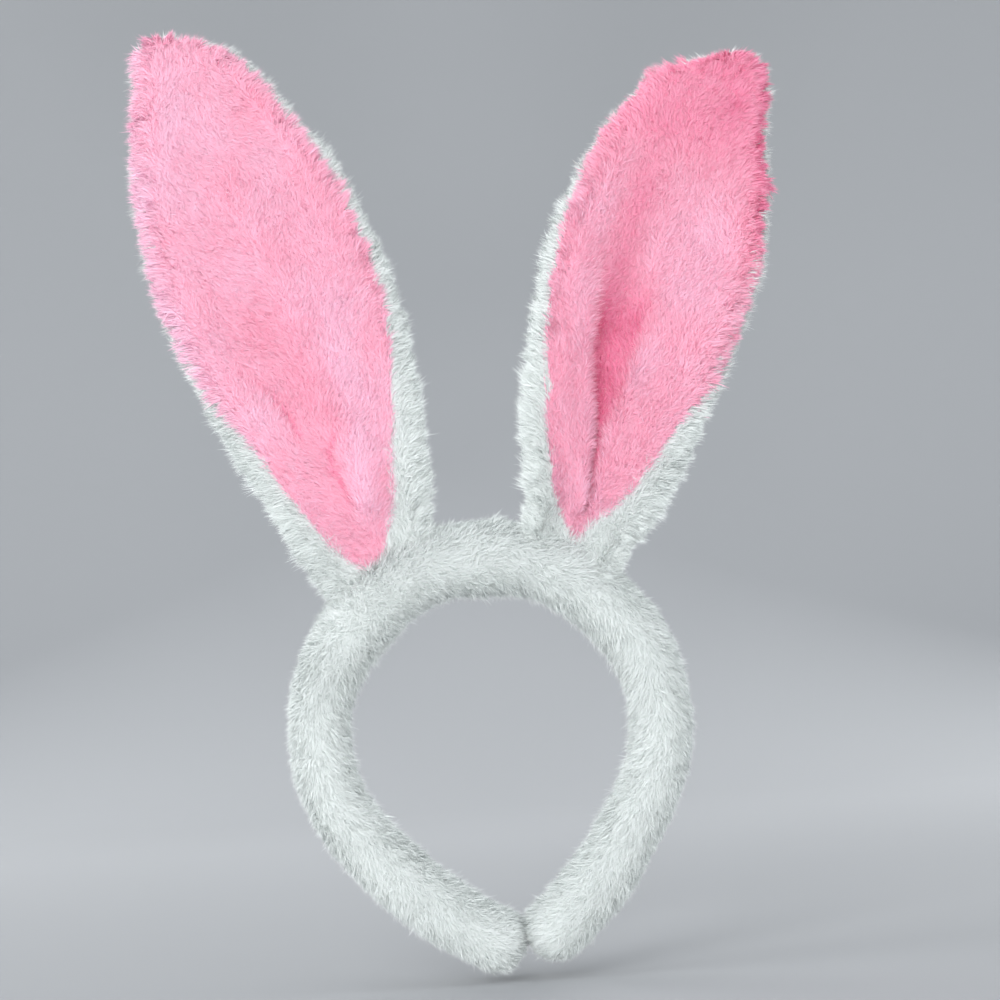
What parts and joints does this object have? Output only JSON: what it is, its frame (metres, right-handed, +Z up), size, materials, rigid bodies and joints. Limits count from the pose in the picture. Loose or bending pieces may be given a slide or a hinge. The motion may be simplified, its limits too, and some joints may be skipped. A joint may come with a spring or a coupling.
{
  "type": "animal ears headband",
  "caption": "Plush headband with tall wired bunny ears: a sprung loop in a white pile sleeve that opens over the head, and pink-fronted ears that tilt at their sewn roots.",
  "frame": {"origin": "underside of the crown of the sleeve, where it rests on the head", "axes": "+Z up as worn, +X to the viewer's right when facing the pink fronts, front of the ears towards -Y"},
  "size_m": [0.223, 0.0288, 0.332],
  "materials": {
    "white_plush": "long white pile",
    "pink_plush": "long light pink pile",
    "core_plastic": "moulded satin",
    "wire_steel": "drawn wire",
    "splice_plastic": "shrunk tube",
    "padding": "thin bonded wadding",
    "white_thread": "polyester thread",
    "pink_thread": "polyester thread"
  },
  "bodies": {
    "crown": {"crown_core": "core_plastic", "left_core_flexure": "core_plastic", "right_core_flexure": "core_plastic", "crown_sleeve": "white_plush", "left_shoulder_sleeve": "white_plush", "right_shoulder_sleeve": "white_plush", "crown_seam_thread": "white_thread", "left_root_stitches": "white_thread", "right_root_stitches": "white_thread"},
    "left_arm": {"left_arm_core": "core_plastic", "left_arm_sleeve": "white_plush", "left_arm_seam_thread": "white_thread"},
    "right_arm": {"right_arm_core": "core_plastic", "right_arm_sleeve": "white_plush", "right_arm_seam_thread": "white_thread"},
    "left_ear": {"left_ear_back": "white_plush", "left_ear_front": "pink_plush", "left_ear_wire": "wire_steel", "left_ear_splice": "splice_plastic", "left_ear_padding": "padding", "left_ear_seam_thread": "pink_thread"},
    "right_ear": {"right_ear_back": "white_plush", "right_ear_front": "pink_plush", "right_ear_wire": "wire_steel", "right_ear_splice": "splice_plastic", "right_ear_padding": "padding", "right_ear_seam_thread": "pink_thread"}
  },
  "joints": [
    {"name": "left_arm_flex", "type": "hinge", "parent": "crown", "child": "left_arm", "pos_m": [-0.05393, 0, -0.0237], "axis": [0, 1, 0], "range_deg": [0, 30], "stiffness_Nm_per_rad": 0.4, "deforming": ["left_core_flexure", "left_shoulder_sleeve"]},
    {"name": "right_arm_flex", "type": "hinge", "parent": "crown", "child": "right_arm", "pos_m": [0.05393, 0, -0.0237], "axis": [0, -1, 0], "range_deg": [0, 30], "stiffness_Nm_per_rad": 0.4, "deforming": ["right_core_flexure", "right_shoulder_sleeve"]},
    {"name": "left_ear_tilt", "type": "hinge", "parent": "crown", "child": "left_ear", "pos_m": [-0.03394, 0, 0.01122], "axis": [0.8746, 0, 0.4848], "range_deg": [-50, 50]},
    {"name": "right_ear_tilt", "type": "hinge", "parent": "crown", "child": "right_ear", "pos_m": [0.03394, 0, 0.01122], "axis": [0.8746, 0, -0.4848], "range_deg": [-50, 50]}
  ]
}
